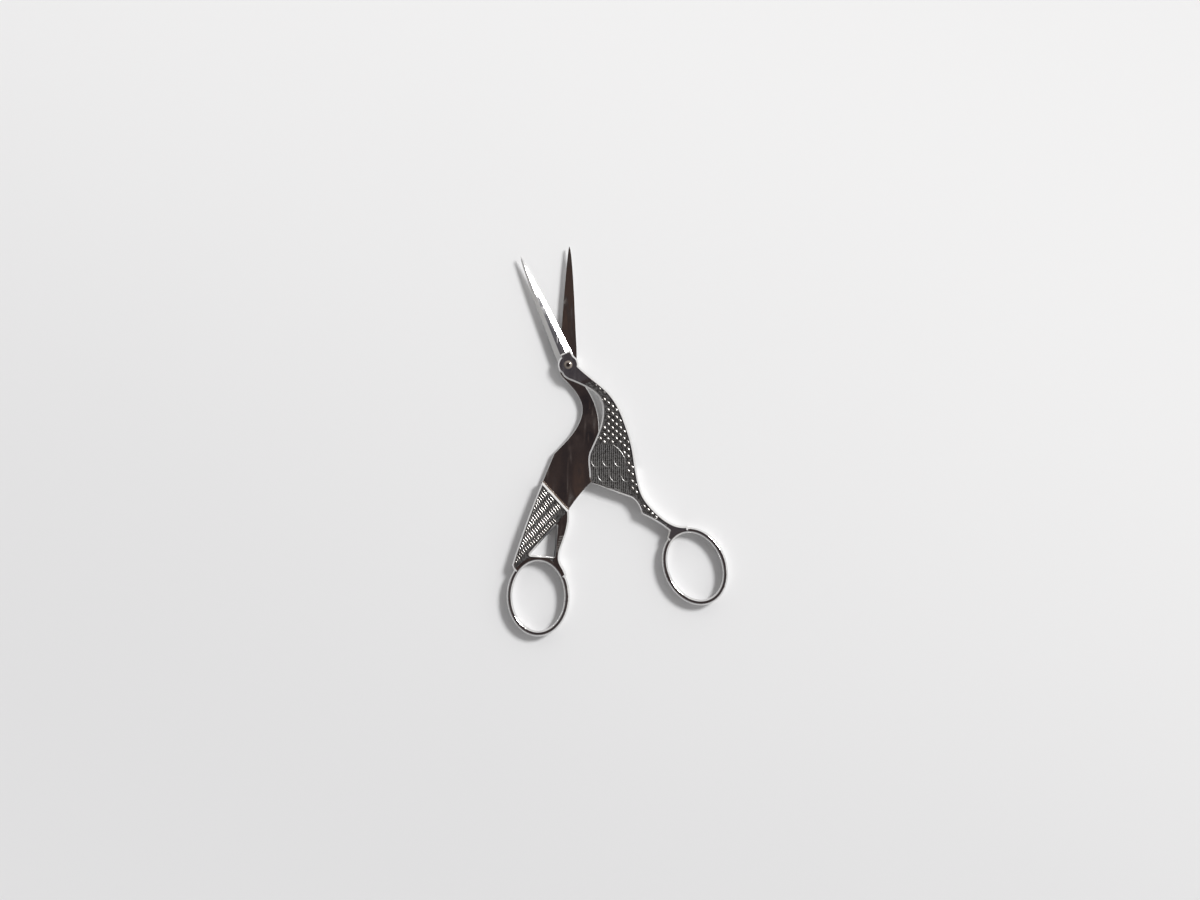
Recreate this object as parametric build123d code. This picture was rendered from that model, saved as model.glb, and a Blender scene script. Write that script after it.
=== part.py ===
from build123d import *
import math
import os

os.makedirs("parts", exist_ok=True)

# Sizes are in millimetres and angles in degrees. The outlines below are drawn with the
# scissors shut, from the pivot, with +Y towards the blade tips and +Z up from the table.

# How far the scissors lie open at rest
rest_opening = 24.1

# Thicknesses
flat_thickness = 1.7        # each half, where the halves lie on each other
mating_gap = 0.05           # running gap between the two flat faces
ring_height = 2.9
edge_bevel = 0.45           # bevel round the outer faces
flat_edge_bevel = 0.12      # broken edge round the flat inner faces

# Blades
blade_length = 34.87
blade_lean = 0.49           # the tips meet a little to the right of straight ahead
cut_half_width = 2.63
spine_half_width = 2.53
cut_taper = 0.735
spine_taper = 0.556
blade_root_thickness = 1.5
blade_tip_thickness = 0.42
ground_edge_thickness = 0.06
root_corner = (2.3, 3.7)    # square shoulder on the cutting side
root_foot = (2.75, 0.4)     # where the shoulder runs out of the boss
root_back = -1.2
tip_bluntness = 0.004       # share of the length by which the taper ends early
ridge_shares = (-0.42, -0.22)    # of the spine's half width, at the root and the tip
grind_shares = (0.36, 0.18)      # of the cutting half width, at the root and the tip
spine_height_share = 0.42
grind_height_share = 0.68
blade_stations = [0.05, 0.3, 0.5, 0.7, 0.85, 0.93, 0.97]

# Pivot
boss_radius = 3.05
rivet_radius = 0.85
rivet_clearance = 0.05
rivet_head_radius = 1.23
rivet_head_height = 0.5
rivet_seat_gap = 0.03
rivet_tail_radius = 1.2
rivet_tail_height = 0.4

# Finger rings
ring_half_width = 9.3
ring_half_length = 11.9
ring_wall = 1.65
ring_gap = 0.12             # between the rings with the scissors shut
tail_ring_x = -8.87
tail_ring_top = -56.3
wing_ring_top = -57.6
ring_edge_radius = 0.7

# Sunk fields that carry the feathers and scales
rim_width = 0.62
field_depth = 0.25
neck_field_start = -6.0     # the pattern fades in below this on the neck
wing_field_end = -55.3      # and ends here on the thin leg
tail_field_end = -60.0      # the ring covers its end on the tail

# Where the halves meet when shut
step_clearance = 0.15
step_bevel = 0.6            # slope at the top of the step up to the tail
step_knee_height = 2.95            # height where the slope turns into the steeper face
step_foot = 0.45            # the steeper face leans out this far at its foot

# Outline of the lower half's neck and body
neck_back = [(2.35, -1.0), (3.54, -3.81), (5.96, -7.70), (8.14, -12.42)]
body_back = [(9.05, -17.60), (8.73, -23.92), (7.85, -30.0), (6.73, -34.66)]
neck_front = [(-2.62, -1.0), (-2.2, -2.95), (-0.68, -4.75), (2.77, -8.88), (4.10, -12.60), (3.13, -17.17)]
breast = [(-1.74, -23.69), (-4.19, -26.20)]
step_top = (-7.61, -34.43)
step_bottom = (0.06, -42.85)
rump_middle = (3.05, -38.70)

# Tail, its leg and the three-cornered window between them
tail_middle = (-12.9, -48.0)
tail_leg_back = [(0.06, -42.85), (0.12, -46.4), (-1.25, -51.7)]
window_top = (-3.3, -46.8)
window_corner_radius = 0.25

# Outline of the upper half's neck, wing and leg
wing_neck_back = [(2.35, -1.0), (3.54, -3.81), (5.61, -7.90), (7.66, -12.57), (8.57, -17.62)]
wing_back = [(8.33, -23.88), (7.48, -29.93), (6.25, -34.51), (5.11, -38.93)]
wing_leg_back = [(4.45, -44.2), (5.45, -48.8)]
wing_corner = [(1.77, -48.97), (2.07, -46.1), (1.53, -44.10), (0.5, -42.85)]
wing_edge = [(-7.85, -35.0), (-8.0, -33.7), (-7.4, -31.9), (-6.02, -28.06), (-4.75, -26.1)]
wing_neck_front = [(-2.62, -1.0), (-2.33, -3.05), (-0.8, -4.9), (2.68, -8.95), (4.42, -12.6), (3.35, -17.3)]
wing_breast = [(-1.85, -23.55), (-4.75, -26.1)]

# Legs, claws and the window's feet near the rings, each point as degrees round its ring from
# the top and the distance outside it
tail_tip = (-46.1, 1.36)
tail_foot = (-48.7, 0.385)
tail_claws = [(38.3, 1.1), (50.1, 0.565), (59.6, 0.34)]
window_feet = [(-15.0, 0.68), (26.5, 1.17)]
wing_claw_outer = [(-10.4, 4.87), (0.25, 1.3), (16.8, 0.375)]
wing_claw_inner = (-25.4, 0.275)
wing_leg_front = [(-14.5, 1.32), (-17.4, 4.03)]

# Worked out from the sizes above
full_thickness = 2 * flat_thickness + mating_gap
beyond = 3 * blade_length     # well outside the outline
wing_level = flat_thickness + mating_gap
ring_centres = {
    "tail": (tail_ring_x, tail_ring_top - ring_half_length),
    "wing": (tail_ring_x + 2 * ring_half_width + ring_gap, wing_ring_top - ring_half_length),
}


def prism(face, bottom, top):
    """The face, drawn at height 0, made solid from bottom to top."""
    return extrude(Pos(0, 0, bottom) * face, amount=top - bottom, dir=(0, 0, 1))


def bevel(plate, height, size):
    """A plate bevelled round its outline at one height, but not where a ring buries it."""
    return chamfer(outline_edges(plate, height).filter_by(GeomType.ELLIPSE, reverse=True), size)


def grown(face, amount):
    """The face with its outline moved outwards, or inwards by a negative amount."""
    return offset(face, amount, kind=Kind.ARC).face().to_splines()


def outline_edges(solid, height):
    """Edges of a prism that lie flat at the given height."""
    return solid.edges().filter_by_position(Axis.Z, height, height)


def between(start, end, share):
    return start + (end - start) * share


def blade_half_widths(along):
    """Width of a blade each side of its centre line, at a share of its length."""
    left = 1 - along + tip_bluntness
    return cut_half_width * left ** cut_taper, spine_half_width * left ** spine_taper


def blade_section(along):
    """Faceted section of a blade: flat inner face below, three ground facets above."""
    cut, spine = blade_half_widths(along)
    thick = between(blade_root_thickness, blade_tip_thickness, along)
    ridge = between(*ridge_shares, along) * spine
    grind = between(*grind_shares, along) * cut
    corners = [
        (-spine, 0, 0),
        (-spine, 0, spine_height_share * thick),
        (ridge, 0, thick),
        (grind, 0, grind_height_share * thick),
        (cut, 0, ground_edge_thickness),
        (cut, 0, 0),
    ]
    section = make_face(Polyline(*corners, close=True))
    return Pos(0, along * blade_length, 0) * section


def blade():
    """One blade with its flat inner face at height 0 and its tip on the Y axis."""
    sections = [blade_section(along) for along in blade_stations]
    return loft(sections) + loft([sections[-1], blade_section(1.0)], ruled=True)


def boss_plate(cut_side):
    """Face of the round boss and the square root that the blade is ground from."""
    corners = [(root_back, 0), (root_back, root_corner[1]), root_corner, root_foot]
    root = make_face(Polyline(*[(cut_side * x, y) for x, y in corners], close=True))
    return make_face(CenterArc((0, 0), boss_radius, 0, 360)) + root


def neck_and_body():
    """Face of the lower neck and body, closed along the rump and the step to the tail."""
    outline = [
        Line(neck_front[0], neck_back[0]),
        Spline(*neck_back, *body_back),
        ThreePointArc(body_back[-1], rump_middle, step_bottom),
        Line(step_bottom, step_top),
        Line(step_top, breast[-1]),
        Spline(*reversed(neck_front + breast)),
    ]
    return make_face(outline)


def by_ring(side, place):
    """Point beside a ring, from its degrees round it and its distance outside it."""
    turn, out = place
    x, y = ring_centres[side]
    across = (ring_half_width + out) * math.sin(math.radians(turn))
    return (x + across, y + (ring_half_length + out) * math.cos(math.radians(turn)))


def window_corners():
    return [window_top] + [by_ring("tail", place) for place in window_feet]


def tail_plate():
    """Face of the tail with its leg, down to the middle of the ring wall."""
    tip, foot = by_ring("tail", tail_tip), by_ring("tail", tail_foot)
    claws = [by_ring("tail", place) for place in tail_claws]
    outline = [
        Line(step_top, step_bottom),
        Spline(*tail_leg_back, *claws),
        Polyline(claws[-1], ring_centres["tail"], foot, tip),
        ThreePointArc(tip, tail_middle, step_top),
    ]
    window = make_face(Polyline(*window_corners(), close=True))
    window = fillet(window.vertices(), window_corner_radius)
    return make_face(outline) - window - ring_disc("tail", ring_wall / 2)


def wing_plate():
    """Face of the upper half from the boss to the ring wall, the blade left out."""
    outer = [by_ring("wing", place) for place in wing_claw_outer]
    inner = by_ring("wing", wing_claw_inner)
    leg_front = [by_ring("wing", place) for place in wing_leg_front]
    outline = [
        Line(wing_neck_front[0], wing_neck_back[0]),
        Spline(*wing_neck_back, *wing_back, *wing_leg_back, *outer),
        Polyline(outer[-1], ring_centres["wing"], inner, leg_front[0]),
        Spline(*leg_front, wing_corner[0]),
        Spline(*wing_corner),
        Line(wing_corner[-1], wing_edge[0]),
        Spline(*wing_edge),
        Spline(*reversed(wing_neck_front + wing_breast)),
    ]
    return boss_plate(1) + make_face(outline) - ring_disc("wing", ring_wall / 2)


def leg_area():
    """Where the upper half is full height, the lower half's rump still to be cut clear."""
    top = body_back[-1][1] + rim_width
    return Pos(0, top) * Rectangle(beyond, beyond, align=(Align.MIN, Align.MAX))


def tail_leg_strip():
    """The smooth leg beside the window, which carries no pattern."""
    top, _, right_foot = window_corners()
    below = [(right_foot[0], tail_field_end), (boss_radius, tail_field_end)]
    corners = [step_bottom, top, right_foot, *below, (boss_radius, step_bottom[1])]
    return make_face(Polyline(*corners, close=True))


def ring_disc(side, shrink=0.0):
    x, y = ring_centres[side]
    return Pos(x, y) * Ellipse(ring_half_width - shrink, ring_half_length - shrink)


def ring(side):
    """A finger ring with rounded edges, lying on the table."""
    band = prism(ring_disc(side) - ring_disc(side, ring_wall), 0, ring_height)
    rounded = outline_edges(band, 0) + outline_edges(band, ring_height)
    return fillet(rounded, ring_edge_radius)


def field(face, level, top_y, end_y, plain=None):
    """Sunk floor of the pattern inside the rim of a face, cut down or up from a level."""
    inside = grown(face, -rim_width) - plain if plain else grown(face, -rim_width)
    band = Pos(0, (top_y + end_y) / 2) * Rectangle(2 * beyond, abs(top_y - end_y))
    return prism(inside & band, level - field_depth, level + field_depth)


def along_step(profile, run_on=0.0):
    """A section drawn across the step (towards the body, up) run along its whole length."""
    along = Vector(*step_bottom) - Vector(*step_top)
    towards_body = Vector(-along.Y, along.X).normalized()
    start = Vector(*step_top) - along.normalized() * run_on
    across = Plane(origin=start, x_dir=towards_body, z_dir=along)
    return extrude(across * make_face(Polyline(*profile, close=True)), amount=along.length + 2 * run_on)


def step_line(gap=0.0):
    """Section of the step from its foot on the flat face to the top of the tail."""
    return [
        (step_foot + gap, flat_thickness),
        (gap, step_knee_height),
        (gap - step_bevel, full_thickness),
    ]


def tail_half():
    """Lower half: right-hand blade, neck, body with its flat face up, tail and ring."""
    tail = tail_plate()
    silhouette = boss_plate(-1) + neck_and_body() + tail
    solid = prism(silhouette, 0, flat_thickness)
    solid = bevel(solid, flat_thickness, flat_edge_bevel) + prism(tail, 0, full_thickness)
    solid = bevel(bevel(solid, 0, edge_bevel), full_thickness, edge_bevel)
    foot, knee, brow = step_line()
    top = 2 * full_thickness
    over = [(step_bevel, step_knee_height), (step_bevel, top), (-step_bevel, top)]
    solid -= along_step([brow, knee, *over])
    under = [(-step_bevel, step_knee_height), (-step_bevel, flat_thickness / 2), (0, flat_thickness / 2)]
    solid += along_step([foot, knee, *under])
    solid -= field(silhouette, 0, neck_field_start, tail_field_end, tail_leg_strip())
    solid -= field(tail, full_thickness, 0, tail_field_end, tail_leg_strip())
    solid += Pos(0, 0, flat_thickness) * Rot(0, 180, 0) * Rot(0, 0, blade_lean) * blade()
    solid += ring("tail")
    return solid - Cylinder(rivet_radius, 4 * full_thickness) - rivet_tail()


def wing_half_shut():
    """Upper half, drawn as it lies with the scissors shut."""
    upper = wing_plate()
    solid = prism(upper, 0, full_thickness)
    solid = bevel(bevel(solid, full_thickness, edge_bevel), 0, edge_bevel)
    solid -= prism(Rectangle(2 * beyond, 2 * beyond) - leg_area(), -1, wing_level)
    solid -= prism(grown(neck_and_body(), step_clearance), -1, wing_level)
    solid -= prism(grown(tail_plate(), step_clearance), -1, wing_level)
    tail_room = [(-step_bevel, 2 * full_thickness), (-ring_half_width, 2 * full_thickness)]
    below = [(-ring_half_width, 0), (step_foot, 0)]
    solid -= along_step(step_line(step_clearance) + tail_room + below, run_on=step_bevel)
    solid -= field(upper, full_thickness, neck_field_start, wing_field_end)
    solid -= field(upper & leg_area(), 0, 0, wing_field_end)
    solid += Pos(0, 0, wing_level) * Rot(0, 0, -blade_lean) * blade()
    solid += ring("wing")
    return solid - Cylinder(rivet_radius + rivet_clearance, 4 * full_thickness)


def wing_half():
    """Upper half at rest, turned open about the pivot."""
    return Rot(0, 0, rest_opening) * wing_half_shut()


def rivet_tail():
    """Peened end of the rivet, flush with the underside."""
    return Pos(0, 0, rivet_tail_height / 2) * Cone(rivet_tail_radius, rivet_radius, rivet_tail_height)


def pivot_rivet():
    """Rivet with a low domed head, the bird's eye."""
    seat = full_thickness + rivet_seat_gap
    shank = prism(Circle(rivet_radius), 0, seat)
    dome_radius = (rivet_head_radius ** 2 + rivet_head_height ** 2) / (2 * rivet_head_height)
    ball = Pos(0, 0, seat + rivet_head_height - dome_radius) * Sphere(dome_radius)
    head = ball & prism(Circle(2 * rivet_head_radius), seat, seat + 2 * rivet_head_height)
    return shank + rivet_tail() + head


export_step(tail_half(), "parts/tail_half.step")
export_step(wing_half(), "parts/wing_half.step")
export_step(pivot_rivet(), "parts/pivot_rivet.step")
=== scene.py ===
import math

import bmesh
import bpy
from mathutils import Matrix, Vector


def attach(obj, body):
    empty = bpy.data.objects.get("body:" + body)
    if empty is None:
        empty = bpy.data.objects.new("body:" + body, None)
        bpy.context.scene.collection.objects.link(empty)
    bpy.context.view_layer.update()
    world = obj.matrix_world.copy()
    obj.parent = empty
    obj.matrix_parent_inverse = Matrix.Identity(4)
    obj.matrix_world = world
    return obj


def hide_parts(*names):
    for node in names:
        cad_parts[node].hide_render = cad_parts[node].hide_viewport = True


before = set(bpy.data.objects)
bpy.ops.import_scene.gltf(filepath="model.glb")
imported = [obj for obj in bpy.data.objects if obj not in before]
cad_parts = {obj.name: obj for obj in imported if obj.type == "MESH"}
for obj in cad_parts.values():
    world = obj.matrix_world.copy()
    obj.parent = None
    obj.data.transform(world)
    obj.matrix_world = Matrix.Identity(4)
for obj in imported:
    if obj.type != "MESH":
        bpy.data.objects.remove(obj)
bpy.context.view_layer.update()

mm = 0.001

# Shared levels of the two halves, in mm above the table
levels = {
    "topRim": 3.45,
    "topGround": 3.2,        # floor of the sunk fields on the upper faces
    "underGround": 0.25,     # and on the underside
    "innerFace": 1.7,
    "restTurn": 24.1,        # how far the upper half lies open, degrees
}


class Wire:
    # one socket; sums on it add Math nodes
    def __init__(self, bench, socket):
        self.bench = bench
        self.socket = socket

    def math(self, operation, first, second=0.0):
        return self.bench.math(operation, first, second)

    def __add__(self, other):
        return self.math("ADD", self, other)

    def __radd__(self, other):
        return self.math("ADD", other, self)

    def __sub__(self, other):
        return self.math("SUBTRACT", self, other)

    def __rsub__(self, other):
        return self.math("SUBTRACT", other, self)

    def __mul__(self, other):
        return self.math("MULTIPLY", self, other)

    def __rmul__(self, other):
        return self.math("MULTIPLY", other, self)

    def __truediv__(self, other):
        return self.math("DIVIDE", self, other)

    def __pow__(self, other):
        return self.math("POWER", self, other)

    def __gt__(self, other):
        return self.math("GREATER_THAN", self, other)

    def __lt__(self, other):
        return self.math("LESS_THAN", self, other)

    def __abs__(self):
        return self.math("ABSOLUTE", self)

    def fade(self, start, end):
        # 0 at start, 1 at end, eased between
        return self.bench.node(
            "ShaderNodeMapRange", {"interpolation_type": "SMOOTHSTEP"}, {0: self, 1: start, 2: end}
        )


class Bench:
    # adds nodes to one tree
    def __init__(self, tree):
        self.tree = tree

    def node(self, kind, settings=None, values=None, out=0):
        made = self.tree.nodes.new(kind)
        for key, value in (settings or {}).items():
            setattr(made, key, value)
        for key, value in (values or {}).items():
            socket = made.inputs[key]
            if isinstance(value, Wire):
                self.tree.links.new(value.socket, socket)
            else:
                socket.default_value = value
        return Wire(self, made.outputs[out]) if len(made.outputs) else None

    def math(self, operation, first, second=0.0):
        return self.node("ShaderNodeMath", {"operation": operation}, {0: first, 1: second})

    def more(self, wire, out):
        # another output of the node that a wire comes from
        return Wire(self, wire.socket.node.outputs[out])

    def blend(self, share, first, second):
        return self.node("ShaderNodeMix", {"data_type": "RGBA"}, {0: share, 6: first, 7: second}, out=2)

    def between(self, share, first, second):
        return self.node("ShaderNodeMix", {"data_type": "FLOAT"}, {0: share, 2: first, 3: second}, out=0)


def newMaterial(name):
    material = bpy.data.materials.new(name)
    material.use_nodes = True
    material.node_tree.nodes.clear()
    return material, Bench(material.node_tree)


def finishSurface(bench, colour, roughness, metallic, normal=None, covered=None):
    values = {"Base Color": colour, "Roughness": roughness, "Metallic": metallic}
    if normal is not None:
        values["Normal"] = normal
    shader = bench.node("ShaderNodeBsdfPrincipled", {}, values)
    if covered is not None:
        # a dull brown painted over the metal where the share is 1, a painted dark reflection
        paintedLook = {"Base Color": nickel["paintedReflection"], "Roughness": nickel["paintedReflectionRoughness"]}
        dull = bench.node("ShaderNodeBsdfPrincipled", {}, {"Specular IOR Level": 0.0, **paintedLook})
        shader = bench.node("ShaderNodeMixShader", {}, {0: covered, 1: shader, 2: dull})
    bench.node("ShaderNodeOutputMaterial", {}, {0: shader})


def linked(name, data):
    made = bpy.data.objects.new(name, data)
    bpy.context.scene.collection.objects.link(made)
    return made


# Finishes

nickel = {
    "bright": (0.80, 0.775, 0.75, 1),
    "plain": (0.72, 0.715, 0.715, 1),
    # the next two are painted reflection: tints that copy the cool and warm colours the flat faces reflect
    "paintedCool": (0.67, 0.71, 0.80, 1),
    "paintedWarm": (0.66, 0.61, 0.57, 1),
    "nearBlack": (0.022, 0.018, 0.016, 1),
    "scuff": (0.78, 0.76, 0.72, 1),
    # painted dark reflection: a dull brown for the step's steep face
    "paintedReflection": (0.085, 0.062, 0.048, 1),
    "roughness": 0.06,
    "satinRoughness": 0.2,
    "wornRoughness": 0.24,
    "scuffRoughness": 0.36,
    "grimeRoughness": 0.45,
    "paintedReflectionRoughness": 0.9,
    "smudgeScale": 160.0,                       # cells per metre, as are the stretches
    "fineScale": 2600.0,
    "scuffStretch": (620.0, 95.0, 620.0),       # long along the blades and the neck
    "waveStretch": (170.0, 45.0, 170.0),        # slow unevenness of the hand polish
    "scratchStretch": (9000.0, 700.0, 9000.0),
    "waveHeight": 0.00006,
    "scratchHeight": 0.0000012,
    "brightShare": 0.45,
    "wornShare": 0.6,
    "scuffShare": 0.5,
    "scuffDullness": 0.8,
    "brightWithin": (0.35, 0.75),               # noise below the first counts 0, above the second 1
    "wornWithin": (0.4, 0.8),
    "scuffWithin": (0.5, 0.8),
    "fineWithin": (0.3, 0.7),
    "nearBlackLeast": 0.55,                       # the fine noise does the rest
    "paintedReflectionLeast": 0.93,
}
reliefFinish = {
    "colour": {
        "hatch": (0.5, 0.475, 0.45, 1), "scale": (0.46, 0.44, 0.42, 1), "feather": (0.42, 0.41, 0.40, 1)
    },
    "roughness": {"hatch": 0.17, "scale": 0.25, "feather": 0.3},
    "footRoughness": 0.5,
    "wearScale": 900.0, "wearShare": 0.35,
    "shownWithin": (0.25, 0.75),
    "grainScale": 5000.0, "grainHeight": 0.000006,
}
rivetFinish = {
    "colour": (0.36, 0.32, 0.285, 1), "shade": (0.24, 0.2, 0.175, 1),
    "roughness": 0.1, "wornRoughness": 0.2,
    "smudgeScale": 900.0, "shadeWithin": (0.3, 0.8), "wornWithin": (0.35, 0.75),
    "grainScale": 4000.0, "grainHeight": 0.0000015,
}


def mask(bench, name):
    return bench.node("ShaderNodeAttribute", {"attribute_name": name}, out="Fac")


def noise(bench, place, scale, detail, **more):
    return bench.node("ShaderNodeTexNoise", {}, {"Vector": place, "Scale": scale, "Detail": detail, **more})


def stretched(bench, place, stretch, detail, **more):
    # noise drawn out along one direction
    place = bench.node("ShaderNodeMapping", {}, {"Vector": place, "Scale": stretch})
    return noise(bench, place, 1.0, detail, **more)


def bumps(bench, height):
    return bench.node("ShaderNodeBump", {}, {"Strength": 1.0, "Distance": 1.0, "Height": height})


def polishedNickel():
    material, bench = newMaterial("polishedNickel")
    place = bench.node("ShaderNodeTexCoord", out="Object")
    recess, paintedCool = mask(bench, "recess"), mask(bench, "paintedCoolFace")
    smudge = noise(bench, place, nickel["smudgeScale"], 4.0, Roughness=0.6)
    fine = noise(bench, place, nickel["fineScale"], 3.0).fade(*nickel["fineWithin"])
    # painted reflection: the lower half's top and inner faces are tinted warm, the upper half's top face cool
    colour = bench.blend(mask(bench, "innerFace"), nickel["plain"], nickel["paintedWarm"])
    colour = bench.blend(paintedCool, colour, nickel["paintedCool"])
    bright = smudge.fade(*nickel["brightWithin"]) * nickel["brightShare"]
    colour = bench.blend(bright, colour, nickel["bright"])
    # near black on the floors of the sunk fields, broken up by fine noise
    least = nickel["nearBlackLeast"]
    colour = bench.blend(recess * (least + (1.0 - least) * fine), colour, nickel["nearBlack"])
    polish = bench.between(paintedCool, nickel["roughness"], nickel["satinRoughness"])
    worn = smudge.fade(*nickel["wornWithin"]) * nickel["wornShare"]
    roughness = bench.between(worn, polish, nickel["wornRoughness"])
    scuff = stretched(bench, place, nickel["scuffStretch"], 2.0, Distortion=0.6)
    scuff = scuff.fade(*nickel["scuffWithin"]) * (1.0 - recess)
    colour = bench.blend(scuff * nickel["scuffShare"], colour, nickel["scuff"])
    roughness = bench.between(scuff * nickel["scuffDullness"], roughness, nickel["scuffRoughness"])
    roughness = bench.between(recess, roughness, nickel["grimeRoughness"])
    wave = stretched(bench, place, nickel["waveStretch"], 1.0, Roughness=0.3)
    scratches = stretched(bench, place, nickel["scratchStretch"], 2.0)
    normal = bumps(bench, wave * nickel["waveHeight"] + scratches * nickel["scratchHeight"])
    # painted dark reflection: a dull brown covers the step's steep face
    least = nickel["paintedReflectionLeast"]
    covered = mask(bench, "paintedReflection") * (least + (1.0 - least) * fine)
    finishSurface(bench, colour, roughness, 1.0, normal, covered)
    return material


def reliefNickel(kind):
    # ridges polished on top, dark where they meet the ground
    material, bench = newMaterial(kind + "Nickel")
    place = bench.node("ShaderNodeTexCoord", out="Object")
    wear = noise(bench, place, reliefFinish["wearScale"], 3.0)
    shown = mask(bench, "lift") + (wear - 0.5) * reliefFinish["wearShare"]
    shown = shown.fade(*reliefFinish["shownWithin"])
    colour = bench.blend(shown, nickel["nearBlack"], reliefFinish["colour"][kind])
    roughness = bench.between(shown, reliefFinish["footRoughness"], reliefFinish["roughness"][kind])
    grain = noise(bench, place, reliefFinish["grainScale"], 2.0)
    finishSurface(bench, colour, roughness, 1.0, bumps(bench, grain * reliefFinish["grainHeight"]))
    return material


def rivetNickel():
    material, bench = newMaterial("rivetNickel")
    place = bench.node("ShaderNodeTexCoord", out="Object")
    smudge = noise(bench, place, rivetFinish["smudgeScale"], 3.0)
    shade = smudge.fade(*rivetFinish["shadeWithin"])
    colour = bench.blend(shade, rivetFinish["colour"], rivetFinish["shade"])
    worn = smudge.fade(*rivetFinish["wornWithin"])
    roughness = bench.between(worn, rivetFinish["roughness"], rivetFinish["wornRoughness"])
    grain = noise(bench, place, rivetFinish["grainScale"], 2.0)
    finishSurface(bench, colour, roughness, 1.0, bumps(bench, grain * rivetFinish["grainHeight"]))
    return material


finishes = {"body": polishedNickel(), "rivet": rivetNickel()}
finishes.update({kind: reliefNickel(kind) for kind in reliefFinish["colour"]})
print("finishes made")


# The two halves and the rivet: merged copies of the CAD meshes

halves = {
    "sharpAngle": 22.0,      # degrees; lengths are in mm
    "bladeSharpAngle": 5.0,  # the ground facets meet at small angles
    "bladeFrom": 5.0,        # an edge that reaches beyond this is a blade's
    "mergeDistance": 0.002,
    "sliver": 0.0005,        # edges shorter than this are dissolved
    "levelRoom": 0.012,
    "flat": 0.98,            # a level face's normal is at least so upright
    "fieldsBelow": -5.0,     # the sunk fields lie on this side of the pivot
    "stepFacing": (0.739, 0.673, 0.0),      # the way the step looks
    "stepReach": (-44.0, -33.0),
    "footSlope": (0.2, 0.5),
    "footFacing": 0.85,
}


def mergedCopy(node, name, material):
    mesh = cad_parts[node].data.copy()
    mesh.name = name
    work = bmesh.new()
    work.from_mesh(mesh)
    bmesh.ops.remove_doubles(work, verts=work.verts, dist=halves["mergeDistance"] * mm)
    bmesh.ops.dissolve_degenerate(work, edges=work.edges, dist=halves["sliver"] * mm)
    for face in work.faces:
        face.smooth = True
    for edge in work.edges:
        if len(edge.link_faces) == 2:
            onBlade = max(vertex.co.y for vertex in edge.verts) > halves["bladeFrom"] * mm
            limit = halves["bladeSharpAngle"] if onBlade else halves["sharpAngle"]
            edge.smooth = edge.calc_face_angle(0.0) < math.radians(limit)
    work.to_mesh(mesh)
    work.free()
    stored = mesh.attributes.get("custom_normal")     # the export's own normals hide the sharp edges
    if stored:
        mesh.attributes.remove(stored)
    mesh.materials.clear()
    mesh.materials.append(material)
    piece = linked(name, mesh)
    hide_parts(node)
    return piece


def markFaces(piece, name, share):
    # a per-face mask that the finish reads
    marks = piece.data.attributes.new(name, "FLOAT", "FACE")
    marks.data.foreach_set("value", [float(share(face)) for face in piece.data.polygons])


def onLevel(face, level):
    return abs(face.center.z / mm - level) < halves["levelRoom"] and abs(face.normal.z) > halves["flat"]


def isGround(face):
    return face.center.y < halves["fieldsBelow"] * mm and (
        onLevel(face, levels["topGround"]) or onLevel(face, levels["underGround"])
    )


def isStepFoot(face):
    # the steep lower face of the step, which gets a painted dark reflection
    facing = face.normal.dot(Vector(halves["stepFacing"]))
    steep, level = halves["footSlope"]
    low, high = halves["stepReach"]
    within = low * mm < face.center.y < high * mm
    return within and halves["footFacing"] < facing and steep < face.normal.z < level


def isTop(face):
    return onLevel(face, levels["topRim"])


def isInnerOrTop(face):
    return isTop(face) or onLevel(face, levels["innerFace"])


def nowhere(face):
    return False


tailHalf = mergedCopy("tail_half", "tailHalf", finishes["body"])
wingHalf = mergedCopy("wing_half", "wingHalf", finishes["body"])
for name, onTail, onWing in [
    # the step's foot takes the painted dark reflection
    ("recess", isGround, isGround), ("paintedReflection", isStepFoot, nowhere),
    # these two mark where the painted warm and cool reflection tints go
    ("innerFace", isInnerOrTop, nowhere), ("paintedCoolFace", nowhere, isTop),
]:
    markFaces(tailHalf, name, onTail)
    markFaces(wingHalf, name, onWing)
pivotRivet = mergedCopy("pivot_rivet", "pivotRivet", finishes["rivet"])
print("halves and rivet made")


# Relief: Geometry Nodes set it out and keep only what lies over a level floor of the half

probe = {
    "from": 4.0, "length": 5.5,      # mm, a ray down on the half
    "levelRoom": 0.03,
    "flat": 0.98,
}
hair = 0.0001                        # mm added to a run, so that its last point isn't lost
singlePitch = 99.0                   # mm, longer than any run, so that the stamp is set once

# Where a pattern lies: the half, the level in mm, up or down, and its turn about the pivot in degrees
places = {
    "wingTop": {"field": wingHalf, "ground": levels["topGround"], "side": 1.0, "turn": 0.0},
    "wingUnder": {"field": wingHalf, "ground": levels["underGround"], "side": -1.0, "turn": 0.0},
    "tailTop": {"field": tailHalf, "ground": levels["topGround"], "side": 1.0, "turn": 0.0},
    "tailUnder": {"field": tailHalf, "ground": levels["underGround"], "side": -1.0, "turn": 0.0},
    "legTop": {"field": tailHalf, "ground": levels["topRim"], "side": 1.0, "turn": 0.0},
    # the upper half's pattern, repeated under the lower half, where it lies when the scissors are shut
    "birdUnder": {
        "field": tailHalf, "ground": levels["underGround"], "side": -1.0, "turn": -levels["restTurn"]
    },
}


def reliefTree(name, sockets, build):
    # a node group with named inputs, its geometry made by build()
    tree = bpy.data.node_groups.new(name, "GeometryNodeTree")
    for label, kind in sockets:
        tree.interface.new_socket(name=label, in_out="INPUT", socket_type=kind)
    tree.interface.new_socket(name="Relief", in_out="OUTPUT", socket_type="NodeSocketGeometry")
    bench = Bench(tree)
    first = bench.node("NodeGroupInput")
    given = {label: bench.more(first, label) for label, _ in sockets}
    shape = bench.node("GeometryNodeRealizeInstances", {}, {"Geometry": build(bench, given)})
    shape = bench.node("GeometryNodeSetMaterial", {}, {"Geometry": shape, "Material": given["Finish"]})
    bench.node("NodeGroupOutput", {}, {"Relief": shape})
    return tree


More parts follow.
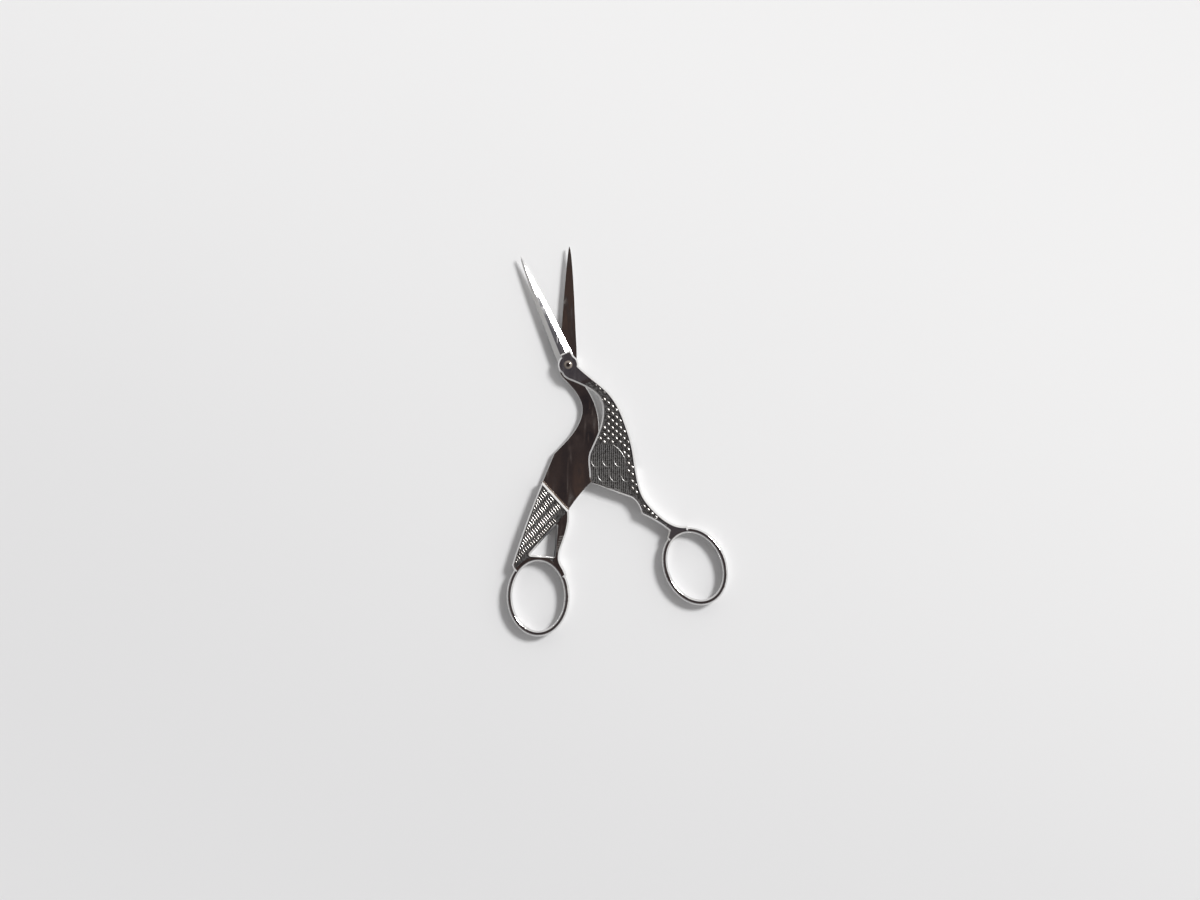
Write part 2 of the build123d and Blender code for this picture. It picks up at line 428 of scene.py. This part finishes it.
def offField(bench, given, aside=(0.0, 0.0)):
    # 1 where a ray down on the half misses the field's level floor (the bevels cross its level too)
    start = bench.node("ShaderNodeSeparateXYZ", {}, {0: bench.node("GeometryNodeInputPosition")})
    level = given["Ground"] + given["Side"] * (probe["from"] * mm)
    across, along = start + aside[0], bench.more(start, "Y") + aside[1]
    above = bench.node("ShaderNodeCombineXYZ", {}, {"X": across, "Y": along, "Z": level})
    down = bench.node("ShaderNodeCombineXYZ", {}, {"Z": given["Side"] * -1.0})
    half = bench.node("GeometryNodeObjectInfo", {}, {"Object": given["Field"]}, out="Geometry")
    hit = bench.node(
        "GeometryNodeRaycast", {},
        {
            "Target Geometry": half, "Source Position": above, "Ray Direction": down,
            "Ray Length": probe["length"] * mm,
        },
    )
    struck = bench.node("ShaderNodeSeparateXYZ", {}, {0: bench.more(hit, "Hit Position")}, out="Z")
    facing = bench.node("ShaderNodeSeparateXYZ", {}, {0: bench.more(hit, "Hit Normal")}, out="Z")
    offLevel = abs(struck - given["Ground"]) > probe["levelRoom"] * mm
    off = bench.math("MAXIMUM", offLevel, abs(facing) < probe["flat"])
    return bench.math("MAXIMUM", off, 1.0 - hit)


def without(bench, domain, shape, selection):
    return bench.node(
        "GeometryNodeDeleteGeometry", {"domain": domain}, {"Geometry": shape, "Selection": selection}
    )


def jittered(bench, given, points):
    shift = bench.node(
        "FunctionNodeRandomValue", {"data_type": "FLOAT_VECTOR"},
        {"Min": (-1, -1, 0), "Max": (1, 1, 0), "Seed": given["Seed"]},
    )
    shift = bench.node("ShaderNodeVectorMath", {"operation": "SCALE"}, {0: shift, "Scale": given["Shift"]})
    return bench.node("GeometryNodeSetPosition", {}, {"Geometry": points, "Offset": shift})


def onLevelAndSide(bench, given, shape):
    # from the table plane to the field's floor, turned over for the underside
    turn = bench.node("ShaderNodeCombineXYZ", {}, {"X": 1.0, "Y": 1.0, "Z": given["Side"]})
    lift = bench.node("ShaderNodeCombineXYZ", {}, {"Z": given["Ground"]})
    shape = bench.node("GeometryNodeTransform", {}, {"Geometry": shape, "Translation": lift, "Scale": turn})
    return bench.node("GeometryNodeFlipFaces", {}, {"Mesh": shape, "Selection": given["Side"] < 0.0})


def rowPoints(bench, given):
    curves = bench.node("GeometryNodeMeshToCurve", {}, {"Mesh": given["Lines"]})
    spread = {"Curve": curves, "Length": given["Pitch"]}
    return jittered(bench, given, bench.node("GeometryNodeCurveToPoints", {"mode": "LENGTH"}, spread))


def buildStrokes(bench, given):
    stroke = bench.node("GeometryNodeObjectInfo", {}, {"Object": given["Stamp"]}, out="Geometry")
    stroke = bench.node("GeometryNodeMeshToCurve", {}, {"Mesh": stroke})
    points = rowPoints(bench, given)
    strokes = bench.node("GeometryNodeInstanceOnPoints", {}, {"Points": points, "Instance": stroke})
    strokes = bench.node("GeometryNodeRealizeInstances", {}, {"Geometry": strokes})
    strokes = bench.node("GeometryNodeResampleCurve", {}, {"Curve": strokes, "Count": given["Steps"]})
    strokes = without(bench, "POINT", strokes, offField(bench, given))
    # a stroke of which a single point is left goes too
    lengths = bench.node("GeometryNodeSplineLength")
    strokes = without(bench, "CURVE", strokes, bench.more(lengths, "Point Count") < 1.5)
    along = bench.node("GeometryNodeSplineParameter")
    # the radius falls off towards rounded ends
    swell = (along * (1.0 - along) * 4.0 + 0.05) ** 0.25
    strokes = bench.node("GeometryNodeSetCurveRadius", {}, {"Curve": strokes, "Radius": swell})
    circle = {"Resolution": given["Around"], "Radius": given["Width"] / 2.0}
    ring = bench.node("GeometryNodeCurvePrimitiveCircle", {}, circle)
    tube = {"Curve": strokes, "Profile Curve": ring, "Fill Caps": True}
    tube = bench.node("GeometryNodeCurveToMesh", {}, tube)
    tube = bench.node("GeometryNodeSetShadeSmooth", {}, {"Geometry": tube})
    rise = bench.node("ShaderNodeCombineXYZ", {}, {"Z": given["Height"] - given["Width"] / 2.0})
    tube = bench.node("GeometryNodeSetPosition", {}, {"Geometry": tube, "Offset": rise})
    high = bench.node("ShaderNodeSeparateXYZ", {}, {0: bench.node("GeometryNodeInputPosition")}, out="Z")
    tube = bench.node(
        "GeometryNodeStoreNamedAttribute", {"data_type": "FLOAT", "domain": "POINT"},
        {"Geometry": tube, "Name": "lift", "Value": high / given["Full Height"]},
    )
    return onLevelAndSide(bench, given, tube)


sharedSockets = [
    ("Lines", "NodeSocketGeometry"), ("Stamp", "NodeSocketObject"), ("Field", "NodeSocketObject"),
    ("Pitch", "NodeSocketFloat"), ("Shift", "NodeSocketFloat"), ("Seed", "NodeSocketInt"),
    ("Ground", "NodeSocketFloat"), ("Side", "NodeSocketFloat"), ("Finish", "NodeSocketMaterial"),
]
# a stroke is as bright as the finish gets where it reaches its full height
strokeSockets = sharedSockets + [
    ("Width", "NodeSocketFloat"), ("Height", "NodeSocketFloat"), ("Full Height", "NodeSocketFloat"),
    ("Steps", "NodeSocketInt"), ("Around", "NodeSocketInt"),
]
strokeGroup = reliefTree("strokesOnField", strokeSockets, buildStrokes)


def lineObject(name, runs):
    # each run a list of points in mm
    corners, edges = [], []
    for run in runs:
        edges += [(len(corners) + step, len(corners) + step + 1) for step in range(len(run) - 1)]
        corners += [(x * mm, y * mm, 0.0) for x, y in run]
    mesh = bpy.data.meshes.new(name)
    mesh.from_pydata(corners, edges, [])
    return linked(name, mesh)


def turned(runs, degrees):
    spin = math.radians(degrees)
    cosine, sine = math.cos(spin), math.sin(spin)
    return [[(x * cosine - y * sine, x * sine + y * cosine) for x, y in run] for run in runs]


measures = {
    "Pitch": ("pitch", mm), "Shift": ("shift", mm), "Room": ("room", mm), "Width": ("width", mm),
    "Height": ("height", mm), "Full Height": ("fullHeight", mm), "Steps": ("steps", 1),
    "Around": ("around", 1), "Seed": ("seed", 1),
}


def relief(runs, stamp, place, sizes, group=strokeGroup):
    # stamps along the runs as a plain mesh
    source = lineObject("reliefLines", runs)
    modifier = source.modifiers.new("relief", "NODES")
    modifier.node_group = group
    given = {
        "Stamp": stamp, "Field": place["field"], "Ground": place["ground"] * mm, "Side": place["side"],
        "Finish": finishes[sizes["finish"]],
    }
    given.update({label: sizes[key] * unit for label, (key, unit) in measures.items() if key in sizes})
    for item in group.interface.items_tree:
        if item.in_out == "INPUT" and item.name in given:
            modifier[item.identifier] = given[item.name]
    bpy.context.view_layer.update()
    shown = source.evaluated_get(bpy.context.evaluated_depsgraph_get())
    mesh = bpy.data.meshes.new_from_object(shown)
    source.modifiers.remove(modifier)
    bpy.data.objects.remove(source)
    return mesh


def joined(name, meshes, kind, stamps):
    # several reliefs of one finish and one body as one piece
    whole = bmesh.new()
    for mesh in meshes:
        whole.from_mesh(mesh)
    mesh = bpy.data.meshes.new(name)
    whole.to_mesh(mesh)
    whole.free()
    mesh.materials.append(finishes[kind])
    mesh.polygons.foreach_set("material_index", [0] * len(mesh.polygons))
    for stamp in stamps:
        bpy.data.objects.remove(stamp)
    print(name, len(mesh.polygons), "faces")
    return linked(name, mesh)


# Tail: four bands of slightly curved bars between dark grooves

hatch = {
    "finish": "hatch",
    "pitch": 0.785, "width": 0.37, "height": 0.25, "fullHeight": 0.25, "steps": 12, "around": 8,
    "shift": 0.015, "seed": 4,
    "lean": 61.0,            # degrees from horizontal, falling to the right
    "length": 2.25,
    "shortLength": 1.3,      # the band beside the window
    "bow": 0.09,
    "bands": [
        [(-6.3, -36.9), (-7.7, -38.6), (-9.0, -40.2), (-10.3, -42.0), (-11.4, -43.9)],
        [(-4.3, -38.8), (-6.0, -40.5), (-7.75, -42.65), (-9.5, -44.6), (-10.6, -46.05), (-12.5, -48.2),
         (-13.6, -49.8)],
        [(-2.3, -41.1), (-4.1, -42.7), (-6.4, -45.2), (-8.8, -47.75), (-11.3, -50.3), (-13.3, -52.3),
         (-15.0, -54.3), (-16.3, -56.2)],
    ],
    "shortBand": [(-4.1, -45.8), (-5.55, -47.2), (-7.0, -48.9), (-8.25, -50.2), (-9.25, -51.25),
                  (-12.45, -54.1), (-14.1, -56.0), (-15.2, -57.4), (-16.7, -59.0)],
}


def bar(length):
    # one bar from end to end, bowed a little like an S
    shares = [step / 4 - 1 for step in range(9)]
    flat = [(share * length / 2, hatch["bow"] * math.sin(share * math.pi)) for share in shares]
    return turned([flat], -hatch["lean"])[0]


def makeHatch(name, place):
    long = lineObject("longBar", [bar(hatch["length"])])
    short = lineObject("shortBar", [bar(hatch["shortLength"])])
    meshes = [relief(hatch["bands"], long, place, hatch), relief([hatch["shortBand"]], short, place, hatch)]
    return joined(name, meshes, hatch["finish"], [long, short])


tailHatch = makeHatch("tailHatch", places["tailTop"])
tailHatchUnder = makeHatch("tailHatchUnder", places["tailUnder"])


# Small ticks across the smooth leg beside the window

ticks = {
    "finish": "hatch",
    "pitch": 0.72, "width": 0.34, "height": 0.13, "fullHeight": 0.1, "steps": 7, "around": 10,
    "shift": 0.02, "seed": 2,
    "run": [(-2.0, -50.6), (-2.25, -51.8), (-2.6, -53.2), (-3.3, -55.0)],
    "tick": [(-0.6, -0.07), (0.6, 0.12)],
}


def makeTicks():
    tick = lineObject("tick", [ticks["tick"]])
    mesh = relief([ticks["run"]], tick, places["legTop"], ticks)
    return joined("legTicks", [mesh], ticks["finish"], [tick])


legTicks = makeTicks()


# Wing: where it lies on the upper half at rest, from the shoulder line down

wing = {
    "arch": [(7.2, -25.4), (7.4, -24.96), (8.26, -23.95), (10.0, -23.45), (11.1, -23.27), (13.2, -23.6),
             (14.1, -24.2), (15.2, -25.2), (15.9, -26.2), (16.5, -27.3), (16.85, -28.6), (17.0, -30.6),
             (17.1, -33.0)],
    "peak": 4,               # the arch's highest point
    "top": -23.3,
    "right": 17.3,
    "waist": -36.5,          # below this the right side is the lower one
    "lowerRight": 18.9,
    "foot": -41.0,
}


def crossing(line, y):
    # where a line of points crosses a height
    found = None
    for (x0, y0), (x1, y1) in zip(line, line[1:]):
        if min(y0, y1) <= y <= max(y0, y1):
            found = x0 + (x1 - x0) * (y - y0) / (y1 - y0)
    return found


def wingSpan(y):
    # left and right ends of the wing at a height, or None above it
    if y > wing["top"]:
        return None
    left = crossing(wing["arch"][:wing["peak"] + 1], y)
    right = crossing(wing["arch"][wing["peak"]:], y)
    if right is None:
        right = wing["right"] if y > wing["waist"] else wing["lowerRight"]
    return left or 0.0, right


# Back and leg: small domed scales, the rows staggered by half a pitch

scales = {
    "finish": "scale",
    "pitch": 2.36, "rowPitch": 1.05, "shift": 0.06, "seed": 11,
    "long": 0.98, "broad": 0.62, "height": 0.235,
    "around": 9, "rings": 3,
    "roundness": 1.8,
    "slant": -50.0,          # degrees, the long axis falling to the right
    "top": -6.0, "foot": -52.0,
    "left": -6.0, "right": 34.0,
    "wingRoom": 0.5,
    "room": 0.3,             # how far a scale's middle stays from the field's walls
    "sizes": (0.9, 1.08),    # hand-cut unevenness
    "growFrom": 7.0, "growTo": 18.0,      # small where the pattern starts on the neck
    "tailFoot": -36.0,       # where they stop on the underside of the lower half
}


def buildDomes(bench, given):
    points = rowPoints(bench, given)
    for across, along in ((1.0, 0.0), (-1.0, 0.0), (0.0, 1.0), (0.0, -1.0)):
        off = offField(bench, given, (given["Room"] * across, given["Room"] * along))
        points = without(bench, "POINT", points, off)
    spot = bench.node("GeometryNodeInputPosition")
    away = bench.node("ShaderNodeVectorMath", {"operation": "LENGTH"}, {0: spot}, out="Value")
    grow = 0.5 + 0.5 * away.fade(scales["growFrom"] * mm, scales["growTo"] * mm)
    least, most = scales["sizes"]
    uneven = bench.node(
        "FunctionNodeRandomValue", {"data_type": "FLOAT"}, {2: least, 3: most, "Seed": given["Seed"]}, out=1
    )
    size = bench.node("ShaderNodeCombineXYZ", {}, {"X": grow * uneven, "Y": grow * uneven, "Z": grow})
    dome = bench.node("GeometryNodeObjectInfo", {}, {"Object": given["Stamp"]}, out="Geometry")
    domes = {"Points": points, "Instance": dome, "Scale": size}
    domes = bench.node("GeometryNodeInstanceOnPoints", {}, domes)
    domes = bench.node("GeometryNodeRealizeInstances", {}, {"Geometry": domes})
    return onLevelAndSide(bench, given, domes)


domeGroup = reliefTree("domesOnField", sharedSockets + [("Room", "NodeSocketFloat")], buildDomes)


def scaleDome():
    # a low dome standing on the table plane, without a base
    spin, around = math.radians(scales["slant"]), scales["around"]
    corners, lifts = [(0.0, 0.0, scales["height"] * mm)], [1.0]
    for ring in range(1, scales["rings"] + 1):
        out = ring / scales["rings"]
        high = 1 - out ** scales["roundness"]
        for step in range(around):
            angle = 2 * math.pi * step / around
            x, y = scales["long"] * out * math.cos(angle), scales["broad"] * out * math.sin(angle)
            across, along = x * math.cos(spin) - y * math.sin(spin), x * math.sin(spin) + y * math.cos(spin)
            corners.append((across * mm, along * mm, scales["height"] * high * mm))
            lifts.append(high)
    faces = [(0, 1 + step, 1 + (step + 1) % around) for step in range(around)]
    for ring in range(scales["rings"] - 1):
        inner, outer = 1 + ring * around, 1 + (ring + 1) * around
        faces += [
            (inner + step, outer + step, outer + (step + 1) % around, inner + (step + 1) % around)
            for step in range(around)
        ]
    mesh = bpy.data.meshes.new("scaleDome")
    mesh.from_pydata(corners, [], faces)
    mesh.polygons.foreach_set("use_smooth", [True] * len(faces))
    mesh.attributes.new("lift", "FLOAT", "POINT").data.foreach_set("value", lifts)
    return linked("scaleDome", mesh)


def scaleRows():
    # whole multiples of the pitch long, because the points spread evenly over all the rows
    runs, y, odd = [], scales["top"], False
    while y > scales["foot"]:
        start = scales["left"] + (scales["pitch"] / 2 if odd else 0.0)
        span = wingSpan(y)
        while span and start < span[1] + scales["wingRoom"]:
            start += scales["pitch"]
        across = math.floor((scales["right"] - start) / scales["pitch"]) * scales["pitch"]
        runs.append([(start, y), (start + across + hair, y)])
        y -= scales["rowPitch"]
        odd = not odd
    return runs


def makeScales(name, place, foot=scales["foot"]):
    dome = scaleDome()
    runs = turned([run for run in scaleRows() if run[0][1] > foot], place["turn"])
    return joined(name, [relief(runs, dome, place, scales, domeGroup)], scales["finish"], [dome])


wingScales = makeScales("wingScales", places["wingTop"])
wingScalesUnder = makeScales("wingScalesUnder", places["wingUnder"])
tailScalesUnder = makeScales("tailScalesUnder", places["birdUnder"], scales["tailFoot"])


# Feathers on the wing: rounded tips in rows, with fine barbs between them

feathers = {
    "halfWidth": 1.7, "tipDepth": 2.65, "flank": 1.2,
    "tips": [(8.35, -30.2), (11.7, -30.1), (15.1, -30.1), (6.7, -34.35), (10.3, -34.4), (13.8, -34.45),
             (17.2, -34.5), (8.5, -38.9), (12.0, -39.1), (15.5, -39.3)],
    "rimSweep": (-90, 90), "tipSweep": (-70, 10),       # degrees from the lowest point
    "shoulder": (5, 10),     # the points of the arch that are raised and bright
    "rim": {
        "finish": "feather",
        "pitch": singlePitch, "width": 0.24, "height": 0.15, "fullHeight": 0.25, "steps": 26, "around": 8,
        "shift": 0.0, "seed": 1,
    },
    "tip": {
        "finish": "feather",
        "pitch": singlePitch, "width": 0.36, "height": 0.25, "fullHeight": 0.25, "steps": 12, "around": 8,
        "shift": 0.0, "seed": 1,
    },
    "barb": {
        "finish": "feather",
        "pitch": 0.59, "width": 0.25, "height": 0.17, "fullHeight": 0.25, "steps": 3, "around": 6,
        "shift": 0.02, "seed": 7,
    },
    "barbLength": 0.58,
    "barbRow": 0.66,
    "firstBarb": -23.9,
    "barbRoom": 0.3,
}
once = [[(0.0, 0.0), (0.001, 0.0)]]      # a run that puts one stamp at the origin


def featherArc(tip, sweep):
    # part of the rounded tip of one feather
    x, y = tip
    across, deep = feathers["halfWidth"], feathers["tipDepth"]
    arc = [math.radians(angle) for angle in range(sweep[0], sweep[1] + 1, 10)]
    return [(x + across * math.sin(angle), y + deep * (1 - math.cos(angle))) for angle in arc]


def featherRim(tip):
    curve = featherArc(tip, feathers["rimSweep"])
    high = curve[0][1] + feathers["flank"]
    return [(curve[0][0], high)] + curve + [(curve[-1][0], high)]


def barbRows():
    # the barbs stand one above the other, so each row starts on the same lattice
    runs, y, pitch = [], feathers["firstBarb"], feathers["barb"]["pitch"]
    while y > wing["foot"]:
        span = wingSpan(y)
        if span:
            first = math.ceil(span[0] / pitch)
            last = math.floor((span[1] - feathers["barbRoom"]) / pitch)
            runs.append([(first * pitch, y), (last * pitch + hair, y)])
        y -= feathers["barbRow"]
    return runs


def makeFeathers(name, place):
    meshes, stamps = [], []
    start, end = feathers["shoulder"]
    lines = [("rim", featherRim(tip)) for tip in feathers["tips"]]
    lines += [("tip", featherArc(tip, feathers["tipSweep"])) for tip in feathers["tips"]]
    lines += [("rim", wing["arch"]), ("tip", wing["arch"][start:end])]
    for part, line in lines:
        stamps.append(lineObject(part, turned([line], place["turn"])))
        meshes.append(relief(once, stamps[-1], place, feathers[part]))
    reach = feathers["barbLength"] / 2
    stamps.append(lineObject("barb", turned([[(0.0, -reach), (0.0, reach)]], place["turn"])))
    meshes.append(relief(turned(barbRows(), place["turn"]), stamps[-1], place, feathers["barb"]))
    return joined(name, meshes, feathers["rim"]["finish"], stamps)


wingFeathers = makeFeathers("wingFeathers", places["wingTop"])
tailFeathersUnder = makeFeathers("tailFeathersUnder", places["birdUnder"])
print("relief made")


# Who rides on what

tailPieces = [tailHalf, tailHatch, tailHatchUnder, legTicks, tailScalesUnder, tailFeathersUnder]
wingPieces = [wingHalf, wingScales, wingScalesUnder, wingFeathers]
for piece in tailPieces + [pivotRivet]:
    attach(piece, "tail_side")
for piece in wingPieces:
    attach(piece, "wing_side")


# Table, light and camera

studio = {
    "floorPale": (0.87, 0.87, 0.87, 1),
    "floorPaintedShade": (0.73, 0.73, 0.735, 1),
    "floorSize": 3.0,        # metres
    "floorSlope": (0.4, 0.8),            # what x and y count in the shading
    "floorShading": (-0.16, 0.12),       # painted shade: grey up to the first, pale from the second
    "floorRoughness": 0.9, "floorCloudScale": 6.0, "floorCloudShare": 0.03,
    "floorDrop": 0.01,       # mm below the scissors, so that the two faces don't coincide
    "keyStrength": 2.8,
    "keyAngle": 15.0,
    "keyFrom": (1.0, 0.7, 0.99),
    "walls": (1.0, 0.995, 0.985),
    "ceiling": (0.13, 0.13, 0.145, 1),
    "overheadDark": (0.02, 0.02, 0.026, 1),
    "overheadWarm": (0.105, 0.072, 0.06, 1),
    "ceilingFrom": (0.68, 0.79),         # heights on the unit sphere around the scissors
    "overheadFrom": (0.82, 0.95),
    "cloudScale": 32.0, "cloudWithin": (0.4, 0.66),
    "wallStrength": 0.76,
    "wallSwing": 0.36,       # brighter towards the key, darker away from it
    "towardsKey": (0.82, 0.57),
}


def makeFloor():
    material, bench = newMaterial("tableTop")
    place = bench.node("ShaderNodeTexCoord", out="Object")
    parts = bench.node("ShaderNodeSeparateXYZ", {}, {0: place})
    across, along = studio["floorSlope"]
    cloud = noise(bench, place, studio["floorCloudScale"], 2.0)
    cloud = (cloud - 0.5) * studio["floorCloudShare"]
    # painted shade and light: the table's colour greys towards the lower left, away from the key, and turns
    # pale towards it
    slope = parts * across + bench.more(parts, "Y") * along + cloud
    colour = bench.blend(slope.fade(*studio["floorShading"]), studio["floorPaintedShade"], studio["floorPale"])
    finishSurface(bench, colour, studio["floorRoughness"], 0.0)
    size, low = studio["floorSize"] / 2, -studio["floorDrop"] * mm
    mesh = bpy.data.meshes.new("table")
    corners = [(-size, -size, low), (size, -size, low), (size, size, low), (-size, size, low)]
    mesh.from_pydata(corners, [], [(0, 1, 2, 3)])
    mesh.materials.append(material)
    floor = linked("table", mesh)


def makeWorld():
    world = bpy.data.worlds.new("studioWorld")
    world.use_nodes = True
    world.node_tree.nodes.clear()
    bench = Bench(world.node_tree)
    direction = bench.node("ShaderNodeTexCoord", out="Generated")
    parts = bench.node("ShaderNodeSeparateXYZ", {}, {0: direction})
    up = bench.more(parts, "Z")
    across, along = studio["towardsKey"]
    side = parts * across + bench.more(parts, "Y") * along
    cloud = noise(bench, direction, studio["cloudScale"], 3.0)
    overhead = bench.blend(cloud.fade(*studio["cloudWithin"]), studio["overheadDark"], studio["overheadWarm"])
    light = studio["wallStrength"] + side * studio["wallSwing"]
    walls = bench.node("ShaderNodeVectorMath", {"operation": "SCALE"}, {0: studio["walls"], "Scale": light})
    colour = bench.blend(up.fade(*studio["ceilingFrom"]), walls, studio["ceiling"])
    colour = bench.blend(up.fade(*studio["overheadFrom"]), colour, overhead)
    background = bench.node("ShaderNodeBackground", {}, {"Color": colour, "Strength": 1.0})
    bench.node("ShaderNodeOutputWorld", {}, {0: background})
    bpy.context.scene.world = world


def makeLights():
    key = bpy.data.lights.new("key", "SUN")
    key.energy = studio["keyStrength"]
    key.angle = math.radians(studio["keyAngle"])
    lamp = linked("key", key)
    lamp.rotation_mode = "QUATERNION"
    lamp.rotation_quaternion = Vector(studio["keyFrom"]).to_track_quat("Z", "Y")


view = {
    "lens": 85.0, "sensor": 36.0, "nearest": 10.0,
    "width": 354.0,          # mm of the table across the picture
    "centre": (9.381, -25.1),
    "level": 2.0,            # height at which the width is measured
}


def makeCamera():
    data = bpy.data.cameras.new("camera")
    data.lens = view["lens"]
    data.sensor_width = view["sensor"]
    away = view["width"] / data.sensor_width * data.lens
    data.clip_start = view["nearest"] * mm
    camera = linked("camera", data)
    camera.location = (view["centre"][0] * mm, view["centre"][1] * mm, (away + view["level"]) * mm)
    bpy.context.scene.camera = camera


makeFloor()
makeWorld()
makeLights()
makeCamera()
bpy.context.scene.view_settings.view_transform = "Standard"
print("studio made")

bpy.context.view_layer.update()
